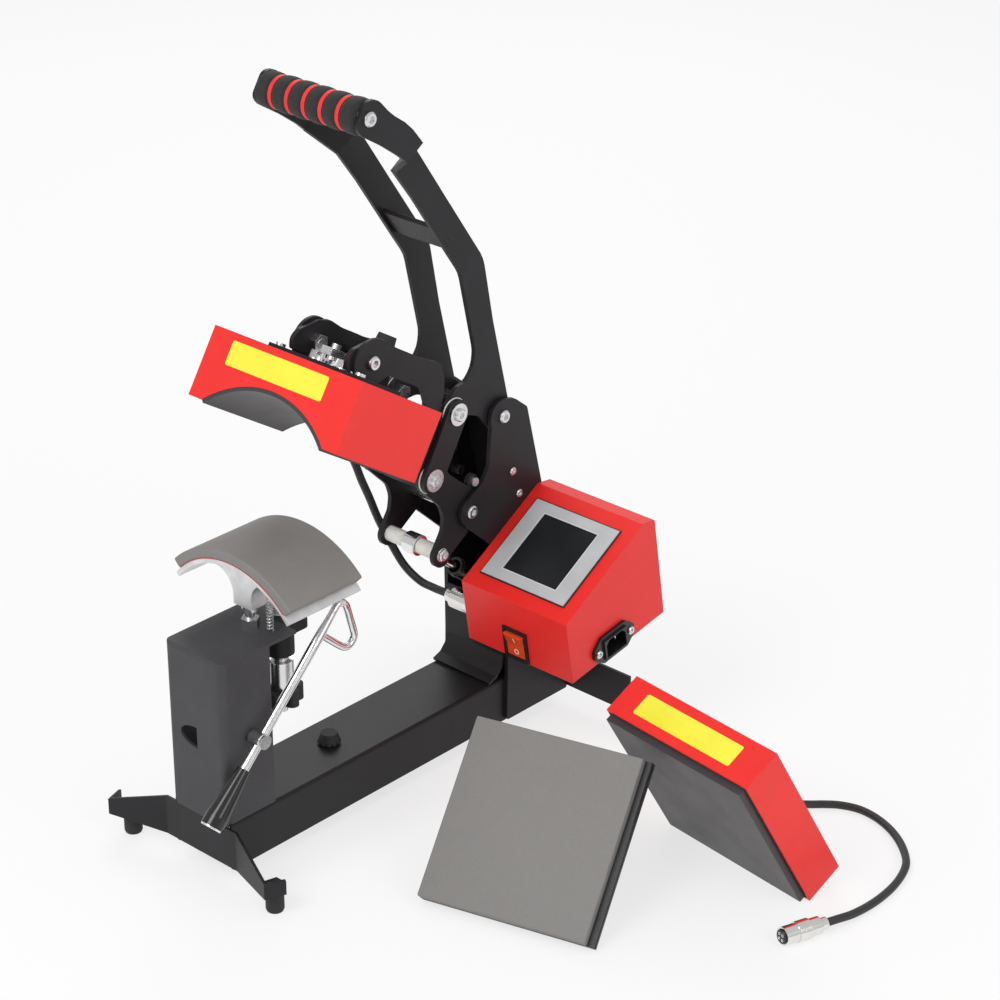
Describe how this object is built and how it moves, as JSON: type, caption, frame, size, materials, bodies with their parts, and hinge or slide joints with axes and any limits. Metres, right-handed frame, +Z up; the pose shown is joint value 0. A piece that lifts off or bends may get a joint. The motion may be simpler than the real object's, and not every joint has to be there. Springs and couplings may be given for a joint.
{
  "type": "cap heat press",
  "caption": "Swing-arm heat press with a curved heating head over a curved pad, a long handle, a sloped control box and a spare flat heater and pad.",
  "frame": {"origin": "floor point midway between the two front rubber feet, under the pedestal's front face", "axes": "+X to the operator's right, +Y to the back along the base beam, +Z up; the head stands open"},
  "size_m": [0.5373, 0.4602, 0.618],
  "materials": {
    "black_sheet": "satin powder coat",
    "pedestal_coat": "fine textured powder coat",
    "red_coat": "satin powder coat",
    "foot_rubber": "matt",
    "knob_plastic": "moulded",
    "zinc_screws": "zinc plated",
    "bright_steel": "polished",
    "nylon": "natural nylon",
    "bezel": "fine grain",
    "screen": "gloss",
    "board": "solder mask",
    "switch_body": "moulded",
    "switch_rocker": "translucent",
    "silicone": "matt silicone",
    "saddle": "cast and machined",
    "spring_steel": "plated wire",
    "grip_foam": "closed cell foam",
    "grip_red": "matt",
    "tube_steel": "drawn tube",
    "heating_coat": "non-stick coat",
    "insulation": "mineral fibre",
    "cable": "smooth jacket",
    "gas_black": "gloss",
    "base_plate": "pressed board"
  },
  "bodies": {
    "frame": {"foot_plates": "black_sheet", "rubber_feet": "foot_rubber", "base_beam": "black_sheet", "front_pedestal": "pedestal_coat", "upright_plates": "black_sheet", "upright_webs": "black_sheet", "pivot_shafts": "zinc_screws", "panel_screws": "zinc_screws", "control_box_housing": "red_coat", "control_box_cover": "red_coat", "display_bezel": "bezel", "display_screen": "screen", "circuit_board": "board", "switch_frame": "switch_body", "power_inlet": "switch_body", "heater_socket": "bright_steel", "platen_pad": "silicone", "platen_saddle": "saddle", "platen_guide": "bright_steel", "platen_spring": "spring_steel", "platen_arm": "black_sheet", "tension_stud": "bright_steel", "head_cable": "cable", "head_connector": "bright_steel", "flat_pad": "silicone", "flat_pad_base": "base_plate", "spare_housing": "red_coat", "spare_heating_plate": "heating_coat", "spare_bracket": "black_sheet", "spare_lead": "cable", "spare_connector": "bright_steel"},
    "handle": {"handle_arms": "black_sheet", "handle_crossbar": "black_sheet", "grip_tube": "tube_steel", "grip_foam": "grip_foam", "grip_rings": "grip_red", "grip_screws": "zinc_screws", "link_top_screws": "zinc_screws", "link_top_washers": "nylon"},
    "link": {"link_plates": "black_sheet", "link_bottom_screws": "zinc_screws"},
    "swing": {"swing_plates": "black_sheet", "swing_cross_plates": "black_sheet", "cross_shaft": "zinc_screws", "nylon_spacers": "nylon", "head_bracket": "black_sheet", "head_fasteners": "zinc_screws", "head_housing": "red_coat", "head_heating_plate": "heating_coat", "head_insulation": "insulation"},
    "gas_rod": {"gas_rod": "bright_steel"},
    "gas_cylinder": {"gas_cylinder": "gas_black"},
    "pressure_screw": {"pressure_screw": "bright_steel"},
    "pressure_knob": {"pressure_knob": "knob_plastic"},
    "tension_lever": {"lever_rod": "bright_steel", "lever_grip": "knob_plastic"},
    "tension_knob": {"tension_knob": "knob_plastic"},
    "beam_knob": {"beam_knob": "knob_plastic"},
    "switch_rocker": {"switch_rocker": "switch_rocker"}
  },
  "joints": [
    {"name": "head_swing", "type": "hinge", "parent": "frame", "child": "swing", "pos_m": [0, 0.276, 0.2305], "axis": [1, 0, 0], "range_deg": [0, 30.2], "stiffness_Nm_per_rad": 8, "springref_deg": -57.3, "deforming": ["head_cable"]},
    {"name": "handle_turn", "type": "hinge", "parent": "frame", "child": "handle", "pos_m": [0, 0.315, 0.3035], "axis": [1, 0, 0], "range_deg": [0, 48.01]},
    {"name": "link_turn", "type": "hinge", "parent": "handle", "child": "link", "pos_m": [0, 0.261, 0.3233], "axis": [1, 0, 0], "range_deg": [-75.7, 0]},
    {"name": "gas_rod_turn", "type": "hinge", "parent": "swing", "child": "gas_rod", "pos_m": [0, 0.2465, 0.2], "axis": [1, 0, 0], "range_deg": [-32.2, 0]},
    {"name": "gas_cylinder_turn", "type": "hinge", "parent": "frame", "child": "gas_cylinder", "pos_m": [0, 0.346, 0.118], "axis": [1, 0, 0], "range_deg": [-3, 0]},
    {"name": "pressure_screw_travel", "type": "slide", "parent": "swing", "child": "pressure_screw", "axis": [0, 0.5373, 0.8434], "range_m": [-0.0031, 0.0031]},
    {"name": "pressure_knob_turn", "type": "hinge", "parent": "pressure_screw", "child": "pressure_knob", "pos_m": [0, 0.2136, 0.38423], "axis": [0, 0.5373, 0.8434], "range_deg": [-720, 720]},
    {"name": "lever_swing", "type": "hinge", "parent": "frame", "child": "tension_lever", "pos_m": [0.044, 0.028, 0.125], "axis": [1, 0, 0], "range_deg": [-60, 6]},
    {"name": "tension_knob_turn", "type": "hinge", "parent": "frame", "child": "tension_knob", "pos_m": [0, 0.092, 0.124], "axis": [0, 0, 1], "continuous": true},
    {"name": "beam_knob_turn", "type": "hinge", "parent": "frame", "child": "beam_knob", "pos_m": [0, 0.143, 0.06], "axis": [0, 0, 1], "continuous": true},
    {"name": "switch_rock", "type": "hinge", "parent": "frame", "child": "switch_rocker", "pos_m": [0.0925, 0.27308, 0.12965], "axis": [1, 0, 0], "range_deg": [-18, 0]}
  ],
  "couplings": [
    {"joint": "handle_turn", "follows": "head_swing", "ratio": 1.5894},
    {"joint": "link_turn", "follows": "head_swing", "ratio": -2.5059},
    {"joint": "gas_cylinder_turn", "follows": "head_swing", "ratio": -0.0596},
    {"joint": "gas_rod_turn", "follows": "head_swing", "ratio": -1.0596},
    {"joint": "pressure_screw_travel", "follows": "pressure_knob_turn", "m_per_rad": 0.00023873}
  ]
}
